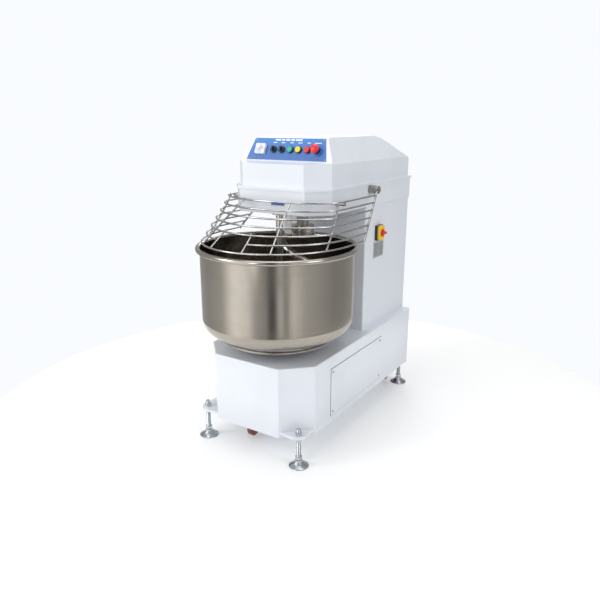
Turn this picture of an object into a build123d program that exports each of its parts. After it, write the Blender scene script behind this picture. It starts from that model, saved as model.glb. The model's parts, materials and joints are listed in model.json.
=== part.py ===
"""Floor-standing spiral dough mixer: turning bowl, spiral hook, hinged wire guard and belt drives.

Millimetres, +Z up, front towards -Y. The origin is on the floor, in the middle of the outline.
"""
import os
from math import cos, radians, sin, sqrt

from build123d import *

os.makedirs("parts", exist_ok=True)

# ---- driving dimensions ----
SHEET = 3                 # sheet-metal wall
RUN_FIT = 0.05            # radial clearance of a running fit
GAP = 0.3                 # clearance between bodies that move past each other
CUT = 1                   # how far a cutter passes a face

BASE_HALF = 290           # base half width
BASE_FRONT = -518
BASE_REAR = 633
BASE_BOTTOM = 122
BASE_TOP = 449
BASE_CORNER = 117         # 45 degree front corners

COLUMN_HALF = 248
RIM_GAP = 21              # between the bowl's rim and the column
COLUMN_REAR = 626

HEAD_HALF = 257
HEAD_FRONT = -309
HEAD_REAR = 626
HEAD_BOTTOM = 1077
HEAD_TOP = 1179           # top edge of the lower tray
HEAD_CORNER_X = 85
HEAD_CORNER_Y = 92

LIP = 4                   # how far the cover's lip stands past the tray
LIP_THICK = 11
COVER_INSET = 10
COVER_WALL_TOP = 1290
ROOF_TOP = 1400
ROOF_HALF = 196           # half width of the flat roof
PANEL_FOOT_Y = -202       # foot and top of the sloping control face
PANEL_FOOT_Z = 1296
PANEL_HEAD_Y = -155
ROOF_END_Y = 293

BOWL_Y = -264
BOWL_R = 350
BOWL_WALL = 3
BOWL_RIM = 935
BOWL_BOTTOM = 532
BOWL_CORNER = 70
BEAD_R = 11

TABLE_R = 261             # turntable under the bowl
TABLE_TOP = 508
TABLE_THICK = 11
HUB_SHAFT_R = 25
BEARING_WALL = 20
BEARING_H = 22
HOUSING_WALL = 15

SPIRAL_X = 20
SPIRAL_Y = -84
HOOK_R = 100              # radius of the helix's centre line
HOOK_ROD_R = 17
HOOK_LOW = 572
HOOK_HIGH = 940
HOOK_TURNS = 1.05
HOOK_TOP_ANGLE = -147       # where the helix ends at its top; it winds down the left-handed way
SPINDLE_R = 28
HUB_R = 55
HUB_LOW = 945
HUB_HIGH = 1000

BAR_Y = -246
BAR_R = 16
BAR_LOW = 572

PULLEY_H = 30
BELT_THICK = 8
SPIRAL_PULLEY_R = 160
SPIRAL_MOTOR_PULLEY_R = 45
SPIRAL_BELT_Z = 1215
BOWL_PULLEY_R = 150
BOWL_MOTOR_PULLEY_R = 35
BOWL_BELT_Z = 220
SPIRAL_MOTOR_Y = 380
SPIRAL_MOTOR_R = 90
SPIRAL_MOTOR_H = 260
SPIRAL_MOTOR_SHAFT_R = 15
BOWL_MOTOR_Y = 170
BOWL_MOTOR_R = 70
BOWL_MOTOR_H = 150
BOWL_MOTOR_SHAFT_R = 12

WIRE_R = 4
GUARD_LOW = 956           # height of the lowest ring
GUARD_PITCH = 30
GUARD_LEVELS = 7
GUARD_FLARE = 53          # how much wider the ring is than the pivots, each side
GUARD_RING_FRONT = -606
GUARD_TOP_FRONT = -354
GUARD_RING_BEND = -229    # where the side runs turn into the front bow
GUARD_TOP_BEND = -200
GUARD_RING_END = -89      # where the lowest ring meets the side rods
SIDE_ROD_R = 5
PIVOT_ARM = 39            # side rods out from the head side
PIVOT_Y = 136
PIVOT_Z = 1158
PIVOT_PIN_R = 8
PIVOT_HUB_R = 18
WELD = 0.6                # how far welded wires sink into each other
REST_Y = -187
REST_R = 7

FOOT_INSET = 30           # feet in from the base side
FOOT_FRONT_INSET = 29
FOOT_REAR_INSET = 46
PAD_R = 45
PAD_H = 32
STEM_R = 10
STEM_TOP = 183
NUT_R = 16
NUT_H = 14
BRACKET_Z = 140
BRACKET_THICK = 12

CASTOR_X = BASE_HALF - 105  # clear of the rear feet as each castor swivels
CASTORS = {"front": (-65, -415), "rear_left": (-CASTOR_X, 530), "rear_right": (CASTOR_X, 530)}
CASTOR_WHEEL_R = 38
CASTOR_LIFT = 10          # wheels hang clear of the floor while the feet carry the machine
CASTOR_WIDTH = 26
CASTOR_TRAIL = 28
CASTOR_AXLE_R = 5

BUTTON_HOLE_R = 11.2
BUTTON_CAP_R = 13
BUTTON_TRAVEL = 3
BEZEL_R = 16.3
BEZEL_H = 7
PLATE = 2                 # thickness of the control plate
PANEL_ROW = -3            # height of the row of controls on the plate
TIMER_X = -140
TIMER_W = 52
TIMER_H = 47
SELECTOR_X = (-72, -28)
GREEN_X = 19
YELLOW_X = 62
RED_X = 108
ESTOP_X = 155
ESTOP_R = 20

SWITCH_Y = 259
SWITCH_Z = 934
SWITCH_W = 64
SWITCH_H = 76
GLAND_Y = 560
GLAND_Z = 520
GLAND_BORE_R = 7
GLAND_R = 13

# ---- derived values ----
rim_r = BOWL_R - BOWL_WALL + 2 * BEAD_R
COLUMN_FRONT = BOWL_Y + rim_r + RIM_GAP
FOOT_X = BASE_HALF - FOOT_INSET
FOOT_FRONT_Y = BASE_FRONT + FOOT_FRONT_INSET
FOOT_REAR_Y = BASE_REAR - FOOT_REAR_INSET
PIVOT_X = HEAD_HALF + PIVOT_ARM
GUARD_RING_HALF = PIVOT_X + GUARD_FLARE
wall_in = BASE_HALF - SHEET
cover_half = HEAD_HALF - COVER_INSET
cover_front = HEAD_FRONT + COVER_INSET
cover_rear = HEAD_REAR - COVER_INSET
bearing_r = HUB_SHAFT_R + RUN_FIT + BEARING_WALL
housing_r = bearing_r + HOUSING_WALL
spindle_bearing_r = SPINDLE_R + RUN_FIT + BEARING_WALL
spindle_housing_r = spindle_bearing_r + HOUSING_WALL
panel_rise = ROOF_TOP - 2 - PANEL_FOOT_Z
panel_run = PANEL_HEAD_Y - PANEL_FOOT_Y
panel_length = sqrt(panel_rise**2 + panel_run**2)
panel_plane = Plane(
    origin=(0, (PANEL_FOOT_Y + PANEL_HEAD_Y) / 2, PANEL_FOOT_Z + panel_rise / 2),
    x_dir=(1, 0, 0),
    z_dir=(0, -panel_rise, panel_run),
)
button_xs = (*SELECTOR_X, GREEN_X, YELLOW_X, RED_X, ESTOP_X)


def save(builder, name):
    """Label a finished piece and write it to its own STEP file."""
    builder.part.label = name
    export_step(builder.part, f"parts/{name}.step")


def plan(half, front, rear, corner_x, corner_y):
    """Plan outline with two cut front corners."""
    Polygon(
        (-half, rear), (-half, front + corner_y), (-half + corner_x, front),
        (half - corner_x, front), (half, front + corner_y), (half, rear), align=None,
    )


def ring(name, x, y, lows, height, outer, bore):
    """Plain rings or tubes standing on one axis, one for each of the low faces given."""
    with BuildPart() as piece:
        for low in lows:
            with BuildSketch(Plane.XY.offset(low)):
                with Locations((x, y)):
                    Circle(outer)
                    Circle(bore, mode=Mode.SUBTRACT)
            extrude(amount=height)
        chamfer(piece.edges().filter_by(GeomType.CIRCLE).group_by(SortBy.RADIUS)[-1], 1)
    save(piece, name)


# ---- base ----
with BuildPart() as base_shell:
    with BuildSketch(Plane.XY.offset(BASE_BOTTOM)):
        plan(BASE_HALF, BASE_FRONT, BASE_REAR, BASE_CORNER, BASE_CORNER)
    extrude(amount=BASE_TOP - BASE_BOTTOM)
    fillet(base_shell.edges().filter_by(Axis.Z), 8)
    fillet(base_shell.faces().sort_by(Axis.Z)[-1].edges(), 5)
    offset(amount=-SHEET, openings=base_shell.faces().sort_by(Axis.Z)[0])
    with BuildSketch(Plane.XY.offset(BASE_TOP + CUT)):
        with Locations((0, BOWL_Y)):
            Circle(housing_r + CUT)
    extrude(amount=-SHEET - 2 * CUT, mode=Mode.SUBTRACT)
save(base_shell, "base_shell")

with BuildPart() as base_floor:
    with BuildSketch(Plane.XY.offset(BASE_BOTTOM)):
        plan(wall_in - GAP, BASE_FRONT + SHEET + GAP, BASE_REAR - SHEET - GAP, BASE_CORNER, BASE_CORNER)
        with Locations((-FOOT_X, FOOT_REAR_Y), (FOOT_X, FOOT_REAR_Y)):
            Circle(STEM_R + CUT, mode=Mode.SUBTRACT)
        with Locations(*CASTORS.values()):
            Circle(CASTOR_AXLE_R + 2, mode=Mode.SUBTRACT)
    extrude(amount=2 * SHEET)
    fillet(base_floor.edges().filter_by(Axis.Z).filter_by(GeomType.LINE).group_by(Axis.Y)[-1], 8)
save(base_floor, "base_floor")

SIDE_PANEL_FRONT = BOWL_Y
SIDE_PANEL_REAR = BOWL_Y + 525
SIDE_PANEL_LOW = BASE_BOTTOM + 33
SIDE_PANEL_HIGH = BASE_TOP - 62
SIDE_PANEL_THICK = 2
side_panel_y = (SIDE_PANEL_FRONT + SIDE_PANEL_REAR) / 2
side_panel_z = (SIDE_PANEL_LOW + SIDE_PANEL_HIGH) / 2
side_panel_l = SIDE_PANEL_REAR - SIDE_PANEL_FRONT
side_panel_h = SIDE_PANEL_HIGH - SIDE_PANEL_LOW
panel_screw_r = 5
screw_pitch_y = side_panel_l - 36
screw_pitch_z = side_panel_h - 36

side_planes = [
    Plane(origin=(side * BASE_HALF, side_panel_y, side_panel_z), x_dir=(0, 1, 0), z_dir=(side, 0, 0))
    for side in (-1, 1)
]
with BuildPart() as side_panels:
    for side_plane in side_planes:
        with BuildSketch(side_plane):
            RectangleRounded(side_panel_l, side_panel_h, 6)
        extrude(amount=SIDE_PANEL_THICK)
save(side_panels, "side_panels")

# ---- levelling feet ----
foot_places = [(x, y) for x in (-FOOT_X, FOOT_X) for y in (FOOT_FRONT_Y, FOOT_REAR_Y)]
chamfer_line = BASE_HALF - BASE_FRONT - BASE_CORNER      # |x| - y on the cut corner

with BuildPart() as foot_brackets:
    with BuildSketch(Plane.XY.offset(BRACKET_Z)):
        for side in (-1, 1):
            Polygon(
                (side * 176, 176 - chamfer_line), (side * 287, 287 - chamfer_line),
                (side * (FOOT_X + 33), FOOT_FRONT_Y - 2), (side * (FOOT_X + 2), FOOT_FRONT_Y - 33), align=None,
            )
        with Locations((-FOOT_X, FOOT_FRONT_Y), (FOOT_X, FOOT_FRONT_Y)):
            Circle(STEM_R + CUT, mode=Mode.SUBTRACT)
    extrude(amount=BRACKET_THICK)
save(foot_brackets, "foot_brackets")

with BuildPart() as levelling_feet:
    with Locations(*[(x, y, 0) for x, y in foot_places]):
        Cylinder(PAD_R, 6, align=(Align.CENTER, Align.CENTER, Align.MIN))
    with Locations(*[(x, y, 6) for x, y in foot_places]):
        Cone(PAD_R - 2, 19, 16, align=(Align.CENTER, Align.CENTER, Align.MIN))
    with Locations(*[(x, y, 22) for x, y in foot_places]):
        Cylinder(17, PAD_H - 22, align=(Align.CENTER, Align.CENTER, Align.MIN))
    with Locations(*[(x, y, PAD_H) for x, y in foot_places]):
        Cylinder(STEM_R, STEM_TOP - PAD_H, align=(Align.CENTER, Align.CENTER, Align.MIN))
    chamfer(levelling_feet.faces().group_by(Axis.Z)[-1].edges(), 2)
save(levelling_feet, "levelling_feet")

with BuildPart() as foot_nuts:
    for x, y in foot_places:
        seat_low = BRACKET_Z if y == FOOT_FRONT_Y else BASE_BOTTOM
        seat_high = BRACKET_Z + BRACKET_THICK if y == FOOT_FRONT_Y else BASE_BOTTOM + 2 * SHEET
        for level in (PAD_H + 2, seat_low - NUT_H, seat_high):
            with BuildSketch(Plane.XY.offset(level)):
                with Locations((x, y)):
                    RegularPolygon(NUT_R, 6)
                    Circle(STEM_R, mode=Mode.SUBTRACT)
            extrude(amount=NUT_H)
save(foot_nuts, "foot_nuts")

# ---- castors ----
CASTOR_PLATE = 5
axle_z = CASTOR_WHEEL_R + CASTOR_LIFT
fork_top = BASE_BOTTOM - CASTOR_PLATE - GAP
fork_inner = CASTOR_WIDTH / 2 + 2
fork_sheet = 4

with BuildPart() as castor_plates:
    with BuildSketch(Plane.XY.offset(BASE_BOTTOM - CASTOR_PLATE)):
        with Locations(*CASTORS.values()):
            RectangleRounded(84, 84, 8)
            Circle(CASTOR_AXLE_R + 2, mode=Mode.SUBTRACT)
    extrude(amount=CASTOR_PLATE)
save(castor_plates, "castor_plates")

for place, (x, y) in CASTORS.items():
    axle_y = y + CASTOR_TRAIL
    with BuildPart() as fork:
        with BuildSketch(Plane.XY.offset(fork_top - 8)):
            with Locations((x, y)):
                Circle(30)
            with Locations((x, y + CASTOR_TRAIL / 2)):
                Rectangle(2 * (fork_inner + fork_sheet), CASTOR_TRAIL + 24)
        extrude(amount=8)
        with BuildSketch(Plane.XY.offset(fork_top)):
            with Locations((x, y)):
                Circle(CASTOR_AXLE_R)
        extrude(amount=CASTOR_PLATE)
        for side in (-1, 1):
            leg_plane = Plane(origin=(x + side * fork_inner, axle_y, 0), x_dir=(0, 1, 0), z_dir=(1, 0, 0))
            with BuildSketch(leg_plane):
                Polygon((-11, axle_z), (11, axle_z), (16, fork_top - 8), (-34, fork_top - 8), align=None)
                with Locations((0, axle_z)):
                    Circle(11)
            extrude(amount=side * fork_sheet)
        with BuildSketch(Plane(origin=(x - fork_inner - fork_sheet - 3, axle_y, axle_z), z_dir=(1, 0, 0))):
            Circle(CASTOR_AXLE_R)
        extrude(amount=2 * (fork_inner + fork_sheet + 3))
    save(fork, f"castor_fork_{place}")
    with BuildPart() as wheel:
        with BuildSketch(Plane(origin=(x - CASTOR_WIDTH / 2, axle_y, axle_z), z_dir=(1, 0, 0))):
            Circle(CASTOR_WHEEL_R)
            Circle(CASTOR_AXLE_R + RUN_FIT, mode=Mode.SUBTRACT)
        extrude(amount=CASTOR_WIDTH)
        fillet(wheel.edges().filter_by(GeomType.CIRCLE).group_by(SortBy.RADIUS)[-1], 5)
    save(wheel, f"castor_wheel_{place}")

# ---- column ----
COLUMN_FLANGE = 22
REAR_COVER_MARGIN = 8

with BuildPart() as column_shell:
    with BuildSketch(Plane.XY.offset(BASE_TOP)):
        with BuildLine():
            Polyline(
                (-COLUMN_HALF, COLUMN_REAR), (-COLUMN_HALF, COLUMN_FRONT),
                (COLUMN_HALF, COLUMN_FRONT), (COLUMN_HALF, COLUMN_REAR), close=True,
            )
        make_face()
        offset(amount=-SHEET, kind=Kind.INTERSECTION, mode=Mode.SUBTRACT)
        with Locations((0, COLUMN_REAR - SHEET / 2)):
            Rectangle(2 * (COLUMN_HALF - COLUMN_FLANGE), 2 * SHEET, mode=Mode.SUBTRACT)
    extrude(amount=HEAD_BOTTOM - BASE_TOP)
    fillet(column_shell.edges().filter_by(Axis.Z).group_by(Axis.Y)[0], 8)
    with Locations(Plane(origin=(-COLUMN_HALF - CUT, GLAND_Y, GLAND_Z), z_dir=(1, 0, 0))):
        Cylinder(GLAND_R + 0.2, SHEET + 3 * CUT, align=(Align.CENTER, Align.CENTER, Align.MIN), mode=Mode.SUBTRACT)
save(column_shell, "column_shell")

cover_w = 2 * (COLUMN_HALF - REAR_COVER_MARGIN)
cover_h = HEAD_BOTTOM - BASE_TOP - 2 * REAR_COVER_MARGIN
cover_mid_z = (HEAD_BOTTOM + BASE_TOP) / 2
LOUVRE_ROWS = 7
rear_plane = Plane(origin=(0, COLUMN_REAR, cover_mid_z), x_dir=(-1, 0, 0), z_dir=(0, 1, 0))

with BuildPart() as rear_cover:
    with BuildSketch(rear_plane):
        RectangleRounded(cover_w, cover_h, 5)
        with Locations((0, -cover_h / 4), (0, cover_h / 4)):
            with GridLocations(0, 18, 1, LOUVRE_ROWS):
                SlotOverall(170, 7, mode=Mode.SUBTRACT)
    extrude(amount=SHEET)
save(rear_cover, "rear_cover")

with BuildPart() as cable_gland:
    gland_plane = Plane(origin=(-COLUMN_HALF + SHEET + 5, GLAND_Y, GLAND_Z), z_dir=(-1, 0, 0))
    with BuildSketch(gland_plane):
        Circle(GLAND_R)
    extrude(amount=SHEET + 5 + 24)
    with BuildSketch(gland_plane.offset(SHEET + 5 + GAP)):
        RegularPolygon(GLAND_R + 4, 6)
    extrude(amount=10)
    with BuildSketch(gland_plane):
        Circle(GLAND_BORE_R)
    extrude(amount=SHEET + 5 + 24, mode=Mode.SUBTRACT)
save(cable_gland, "cable_gland")

with BuildPart() as rating_plate:
    plate_origin = (COLUMN_HALF, BOWL_Y + 537, 847)
    with BuildSketch(Plane(origin=plate_origin, x_dir=(0, 1, 0), z_dir=(1, 0, 0))):
        RectangleRounded(116, 80, 3)
    extrude(amount=0.8)
save(rating_plate, "rating_plate")

# ---- head tray and bearings ----
spindle_hole_r = SPINDLE_R + 2
motor_hole_r = SPIRAL_MOTOR_SHAFT_R + 6

with BuildPart() as head_housing:
    with BuildSketch(Plane.XY.offset(HEAD_BOTTOM)):
        plan(HEAD_HALF, HEAD_FRONT, HEAD_REAR, HEAD_CORNER_X, HEAD_CORNER_Y)
    extrude(amount=HEAD_TOP - HEAD_BOTTOM)
    fillet(head_housing.edges().filter_by(Axis.Z), 8)
    offset(amount=-SHEET, openings=head_housing.faces().sort_by(Axis.Z)[-1])
    fillet(head_housing.faces().sort_by(Axis.Z)[0].edges(), SHEET - 1)
    with Locations((SPIRAL_X, SPIRAL_Y, HEAD_BOTTOM)):
        Cylinder(spindle_hole_r, 3 * SHEET, mode=Mode.SUBTRACT)
    with Locations((SPIRAL_X, SPIRAL_MOTOR_Y, HEAD_BOTTOM)):
        Cylinder(motor_hole_r, 3 * SHEET, mode=Mode.SUBTRACT)
save(head_housing, "head_housing")

tray_floor = HEAD_BOTTOM + SHEET
spindle_housing_h = HEAD_TOP + 8 - tray_floor
ring("spindle_housing", SPIRAL_X, SPIRAL_Y, [tray_floor], spindle_housing_h, spindle_housing_r, spindle_bearing_r)
ring("spindle_seal", SPIRAL_X, SPIRAL_Y, [HEAD_BOTTOM - 14], 14, 66, SPINDLE_R + GAP)

# ---- head cover ----


def cover_solid(inset, wall_low):
    """The cover's outer form, or its hollow when inset by the sheet."""
    with BuildPart() as form:
        with BuildSketch(Plane.XY.offset(wall_low)):
            plan(cover_half, cover_front, cover_rear, HEAD_CORNER_X, HEAD_CORNER_Y)
            if inset:
                offset(amount=-inset, kind=Kind.INTERSECTION, mode=Mode.REPLACE)
        extrude(amount=ROOF_TOP - wall_low)
        side_view = Plane(origin=(-cover_half - CUT, 0, 0), x_dir=(0, 1, 0), z_dir=(1, 0, 0))
        with BuildSketch(side_view):
            Polygon(
                (cover_front, wall_low), (cover_front, COVER_WALL_TOP), (PANEL_FOOT_Y, PANEL_FOOT_Z),
                (PANEL_HEAD_Y, ROOF_TOP - 2), (PANEL_HEAD_Y + 8, ROOF_TOP), (ROOF_END_Y, ROOF_TOP),
                (ROOF_END_Y + 62, ROOF_TOP - 12), (ROOF_END_Y + 140, ROOF_TOP - 40),
                (ROOF_END_Y + 211, ROOF_TOP - 73), (cover_rear - 22, COVER_WALL_TOP + 2),
                (cover_rear, COVER_WALL_TOP - 14), (cover_rear, wall_low), align=None,
            )
            if inset:
                offset(amount=-inset, kind=Kind.INTERSECTION, mode=Mode.REPLACE)
        extrude(amount=2 * (cover_half + CUT), mode=Mode.INTERSECT)
        front_view = Plane(origin=(0, cover_front - CUT, 0), x_dir=(1, 0, 0), z_dir=(0, -1, 0))
        with BuildSketch(front_view):
            Polygon(
                (-cover_half, wall_low), (-cover_half, COVER_WALL_TOP), (-ROOF_HALF, ROOF_TOP),
                (ROOF_HALF, ROOF_TOP), (cover_half, COVER_WALL_TOP), (cover_half, wall_low), align=None,
            )
            if inset:
                offset(amount=-inset, kind=Kind.INTERSECTION, mode=Mode.REPLACE)
        extrude(amount=-(cover_rear - cover_front + 2 * CUT), mode=Mode.INTERSECT)
    return form.part


cover_outer = cover_solid(0, HEAD_TOP)
cover_hollow = cover_solid(SHEET, HEAD_TOP - 5 * SHEET)

with BuildPart() as head_cover:
    add(cover_outer)
    with BuildSketch(Plane.XY.offset(HEAD_TOP)):
        plan(HEAD_HALF + LIP, HEAD_FRONT - LIP, HEAD_REAR + LIP, HEAD_CORNER_X, HEAD_CORNER_Y)
    extrude(amount=LIP_THICK)
    fillet(head_cover.edges().filter_by(Axis.Z), 6)
    add(cover_hollow, mode=Mode.SUBTRACT)
    with BuildSketch(panel_plane.offset(CUT)):
        with Locations(*[(x, PANEL_ROW) for x in button_xs]):
            Circle(BUTTON_HOLE_R)
        with Locations((TIMER_X, PANEL_ROW)):
            Rectangle(TIMER_W - 7.4, TIMER_H - 6.4)
    extrude(amount=-SHEET - 3 * CUT, mode=Mode.SUBTRACT)
save(head_cover, "head_cover")

# ---- control panel ----
with BuildPart() as control_panel:
    with BuildSketch(panel_plane):
        low_half = 213
        high_half = 187
        half_rise = panel_length / 2 - 5
        Polygon((-low_half, -half_rise), (low_half, -half_rise), (high_half, half_rise), (-high_half, half_rise),
                align=None)
        with Locations(*[(x, PANEL_ROW) for x in button_xs]):
            Circle(BUTTON_HOLE_R, mode=Mode.SUBTRACT)
        with Locations((TIMER_X, PANEL_ROW)):
            Rectangle(TIMER_W - 7.4, TIMER_H - 6.4, mode=Mode.SUBTRACT)
    extrude(amount=PLATE)
save(control_panel, "control_panel")

panel_corners = [(x * (low_half - 8), -half_rise + 7) for x in (-1, 1)]
panel_corners += [(x * (high_half - 8), half_rise - 7) for x in (-1, 1)]
with BuildPart() as cover_screws:
    with BuildSketch(panel_plane.offset(PLATE)):
        with Locations(*panel_corners):
            Circle(3.2)
    extrude(amount=1.6)
    with BuildSketch(rear_plane.offset(SHEET)):
        with GridLocations(cover_w - 20, (cover_h - 30) / 2, 2, 3):
            Circle(5.5)
    extrude(amount=3)
    for side_plane in side_planes:
        with BuildSketch(side_plane.offset(SIDE_PANEL_THICK)):
            with GridLocations(screw_pitch_y, screw_pitch_z, 2, 2):
                Circle(panel_screw_r)
        extrude(amount=2.5)
save(cover_screws, "cover_screws")

barrel_r = BUTTON_HOLE_R - 0.2
stem_r = barrel_r - 2
with BuildPart() as button_bezels:
    for x in button_xs:
        with BuildSketch(panel_plane.offset(PLATE)):
            with Locations((x, PANEL_ROW)):
                Circle(BEZEL_R)
                Circle(BUTTON_CAP_R + GAP, mode=Mode.SUBTRACT)
        extrude(amount=BEZEL_H)
        with BuildSketch(panel_plane.offset(PLATE)):
            with Locations((x, PANEL_ROW)):
                Circle(BEZEL_R)
                Circle(stem_r + GAP, mode=Mode.SUBTRACT)
        extrude(amount=1.5)
        with BuildSketch(panel_plane.offset(-22)):
            with Locations((x, PANEL_ROW)):
                Circle(barrel_r)
                Circle(stem_r + GAP, mode=Mode.SUBTRACT)
        extrude(amount=22 + PLATE)
save(button_bezels, "button_bezels")

with BuildPart() as contact_blocks:
    for x in button_xs:
        with BuildSketch(panel_plane.offset(-62)):
            with Locations((x, PANEL_ROW)):
                Rectangle(30, 34)
        extrude(amount=40)
save(contact_blocks, "contact_blocks")

cap_seat = PLATE + 1.5 + BUTTON_TRAVEL + GAP


def stem_and_cap(x, cap_r, cap_low, cap_high, rounding):
    """A round operator: its stem in the barrel and its cap above, with a rounded face."""
    with BuildPart() as operator:
        with BuildSketch(panel_plane.offset(-16)):
            with Locations((x, PANEL_ROW)):
                Circle(stem_r)
        extrude(amount=16 + cap_low)
        with BuildSketch(panel_plane.offset(cap_low)):
            with Locations((x, PANEL_ROW)):
                Circle(cap_r)
        extrude(amount=cap_high - cap_low)
        face = operator.faces().sort_by(Axis((0, 0, 0), panel_plane.z_dir))[-1]
        fillet(face.edges(), rounding)
    return operator


for name, x in (("start_button", GREEN_X), ("jog_button", YELLOW_X), ("stop_button", RED_X)):
    save(stem_and_cap(x, BUTTON_CAP_R, cap_seat, PLATE + BEZEL_H + 5, 1.5), name)

estop_low = PLATE + BEZEL_H + BUTTON_TRAVEL + 5
save(stem_and_cap(ESTOP_X, ESTOP_R, estop_low, estop_low + 20, 9), "estop_button")

selector_top = PLATE + BEZEL_H + 2
for name, x in (("speed_selector", SELECTOR_X[0]), ("bowl_selector", SELECTOR_X[1])):
    selector_base = stem_and_cap(x, BUTTON_CAP_R, PLATE + 1.5 + GAP, selector_top, 1)
    with BuildPart() as selector:
        add(selector_base.part)
        with BuildSketch(panel_plane.offset(selector_top)):
            with Locations((x, PANEL_ROW)):
                SlotOverall(2 * BUTTON_CAP_R - 3, 8, rotation=90)
        extrude(amount=12)
    save(selector, name)

timer_face = PLATE + 14
with BuildPart() as timer_body:
    with BuildSketch(panel_plane.offset(PLATE)):
        with Locations((TIMER_X, PANEL_ROW)):
            RectangleRounded(TIMER_W, TIMER_H, 4)
    extrude(amount=14)
    with BuildSketch(panel_plane.offset(-45)):
        with Locations((TIMER_X, PANEL_ROW)):
            Rectangle(TIMER_W - 8, TIMER_H - 7)
    extrude(amount=45 + PLATE)
    with BuildSketch(panel_plane.offset(timer_face - 10)):
        with Locations((TIMER_X, PANEL_ROW)):
            Circle(3 + RUN_FIT)
    extrude(amount=12, mode=Mode.SUBTRACT)
save(timer_body, "timer_body")

with BuildPart() as timer_knob:
    with BuildSketch(panel_plane.offset(timer_face - 9)):
        with Locations((TIMER_X, PANEL_ROW)):
            Circle(3)
    extrude(amount=9 + GAP)
    with BuildSketch(panel_plane.offset(timer_face + GAP)):
        with Locations((TIMER_X, PANEL_ROW)):
            Circle(13)
    extrude(amount=3)
    with BuildSketch(panel_plane.offset(timer_face + GAP + 3)):
        with Locations((TIMER_X, PANEL_ROW)):
            SlotOverall(24, 7, rotation=60)
    extrude(amount=9)
save(timer_knob, "timer_knob")

# ---- isolator on the column side ----
switch_plane = Plane(origin=(COLUMN_HALF, SWITCH_Y, SWITCH_Z), x_dir=(0, 1, 0), z_dir=(1, 0, 0))
SWITCH_BASE = 14
SWITCH_COVER = 12

with BuildPart() as isolator_base:
    with BuildSketch(switch_plane):
        RectangleRounded(SWITCH_W, SWITCH_H, 6)
    extrude(amount=SWITCH_BASE)
save(isolator_base, "isolator_base")

with BuildPart() as isolator_cover:
    with BuildSketch(switch_plane.offset(SWITCH_BASE)):
        RectangleRounded(SWITCH_W - 6, SWITCH_H - 4, 16)
    extrude(amount=SWITCH_COVER)
    fillet(isolator_cover.faces().sort_by(Axis.X)[-1].edges(), 3)
save(isolator_cover, "isolator_cover")

with BuildPart() as isolator_handle:
    with BuildSketch(switch_plane.offset(SWITCH_BASE + SWITCH_COVER + GAP)):
        Circle(19)
    extrude(amount=4)
    with BuildSketch(switch_plane.offset(SWITCH_BASE + SWITCH_COVER + GAP + 4)):
        SlotOverall(40, 13)
    extrude(amount=12)
save(isolator_handle, "isolator_handle")

# ---- bowl and its drive ----
floor_r = BOWL_R - BOWL_CORNER
bead_z = BOWL_RIM - BEAD_R

with BuildPart() as bowl:
    with BuildSketch(Plane(origin=(0, BOWL_Y, 0), x_dir=(1, 0, 0), z_dir=(0, -1, 0))):
        with BuildLine():
            Polyline((0, BOWL_BOTTOM), (floor_r, BOWL_BOTTOM))
            RadiusArc((floor_r, BOWL_BOTTOM), (BOWL_R, BOWL_BOTTOM + BOWL_CORNER), -BOWL_CORNER)
            Line((BOWL_R, BOWL_BOTTOM + BOWL_CORNER), (BOWL_R, bead_z))
            Line((BOWL_R, bead_z), (BOWL_R - BOWL_WALL, bead_z))
            Line((BOWL_R - BOWL_WALL, bead_z), (BOWL_R - BOWL_WALL, BOWL_BOTTOM + BOWL_CORNER))
            RadiusArc((BOWL_R - BOWL_WALL, BOWL_BOTTOM + BOWL_CORNER), (floor_r, BOWL_BOTTOM + BOWL_WALL),
                      BOWL_CORNER - BOWL_WALL)
            Polyline((floor_r, BOWL_BOTTOM + BOWL_WALL), (0, BOWL_BOTTOM + BOWL_WALL), (0, BOWL_BOTTOM))
        make_face()
        with Locations((BOWL_R - BOWL_WALL + BEAD_R, bead_z)):
            Circle(BEAD_R)
    revolve(axis=Axis((0, BOWL_Y, 0), (0, 0, 1)))
save(bowl, "bowl")

with BuildPart() as turntable:
    with Locations((0, BOWL_Y, TABLE_TOP - TABLE_THICK)):
        Cylinder(TABLE_R, TABLE_THICK, align=(Align.CENTER, Align.CENTER, Align.MIN))
    fillet(turntable.edges().filter_by(GeomType.CIRCLE), 4)
    with Locations((0, BOWL_Y, TABLE_TOP)):
        Cone(TABLE_R - 8, TABLE_R - 4, BOWL_BOTTOM - TABLE_TOP, align=(Align.CENTER, Align.CENTER, Align.MIN))
save(turntable, "turntable")
with BuildPart() as hub_shaft:
    with Locations((0, BOWL_Y, BOWL_BELT_Z - 15)):
        Cylinder(HUB_SHAFT_R, TABLE_TOP - TABLE_THICK - BOWL_BELT_Z + 15, align=(Align.CENTER, Align.CENTER, Align.MIN))
save(hub_shaft, "hub_shaft")
housing_top = TABLE_TOP - TABLE_THICK - 4
housing_low = BASE_TOP - 120
ring("hub_housing", 0, BOWL_Y, [housing_low], housing_top - housing_low, housing_r, bearing_r)

with BuildPart() as shaft_bearings:
    for x, y, lows, outer, bore in (
        (0, BOWL_Y, (housing_low + 4, housing_top - 4 - BEARING_H), bearing_r, HUB_SHAFT_R + RUN_FIT),
        (SPIRAL_X, SPIRAL_Y, (tray_floor + 4, tray_floor + spindle_housing_h - BEARING_H - 4),
         spindle_bearing_r, SPINDLE_R + RUN_FIT),
    ):
        for low in lows:
            with BuildSketch(Plane.XY.offset(low)):
                with Locations((x, y)):
                    Circle(outer)
                    Circle(bore, mode=Mode.SUBTRACT)
            extrude(amount=BEARING_H)
save(shaft_bearings, "shaft_bearings")
ring("bowl_pulley", 0, BOWL_Y, [BOWL_BELT_Z], PULLEY_H, BOWL_PULLEY_R, HUB_SHAFT_R)


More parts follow.
